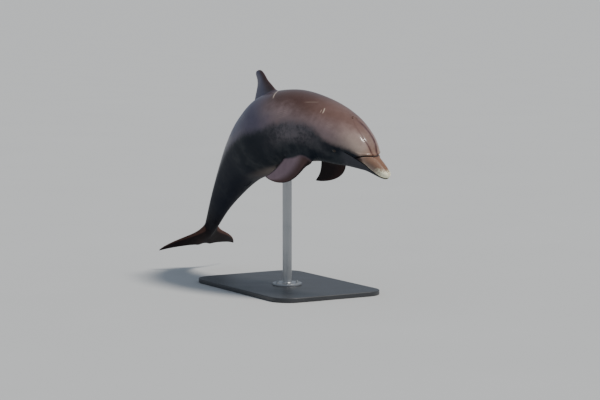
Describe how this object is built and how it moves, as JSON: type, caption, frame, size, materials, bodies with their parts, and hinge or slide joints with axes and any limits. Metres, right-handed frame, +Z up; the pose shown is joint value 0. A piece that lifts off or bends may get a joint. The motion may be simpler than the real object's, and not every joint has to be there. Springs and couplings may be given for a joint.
{
  "type": "bottlenose dolphin",
  "caption": "Life-size still model of a leaping bottlenose dolphin, arched with head and tail down, carried on a steel rod over a flat display base.",
  "frame": {"origin": "centre of the underside of the stand's base plate", "axes": "+Z up, +X the way the dolphin heads, +Y its left side"},
  "size_m": [2.2548, 0.78, 1.4115],
  "materials": {
    "skin_head": "smooth wet skin, beige grey, cream tip of the beak",
    "skin_body": "smooth wet skin, brown grey back, paler belly",
    "eye": "glossy dark brown",
    "base_paint": "board in satin charcoal paint",
    "stand_steel": "brushed",
    "cradle_rubber": "matte black"
  },
  "bodies": {
    "root": {"head": "skin_head", "beak_upper": "skin_head", "jaw_lower": "skin_head", "trunk_front": "skin_body", "trunk_middle": "skin_body", "trunk_rear": "skin_body", "tail_stock": "skin_body", "dorsal_fin": "skin_body", "flipper_left": "skin_body", "flipper_right": "skin_body", "fluke_left": "skin_body", "fluke_right": "skin_body", "eye_left": "eye", "eye_right": "eye", "stand_base": "base_paint", "stand_flange": "stand_steel", "stand_rod": "stand_steel", "stand_cradle": "cradle_rubber"}
  },
  "joints": []
}
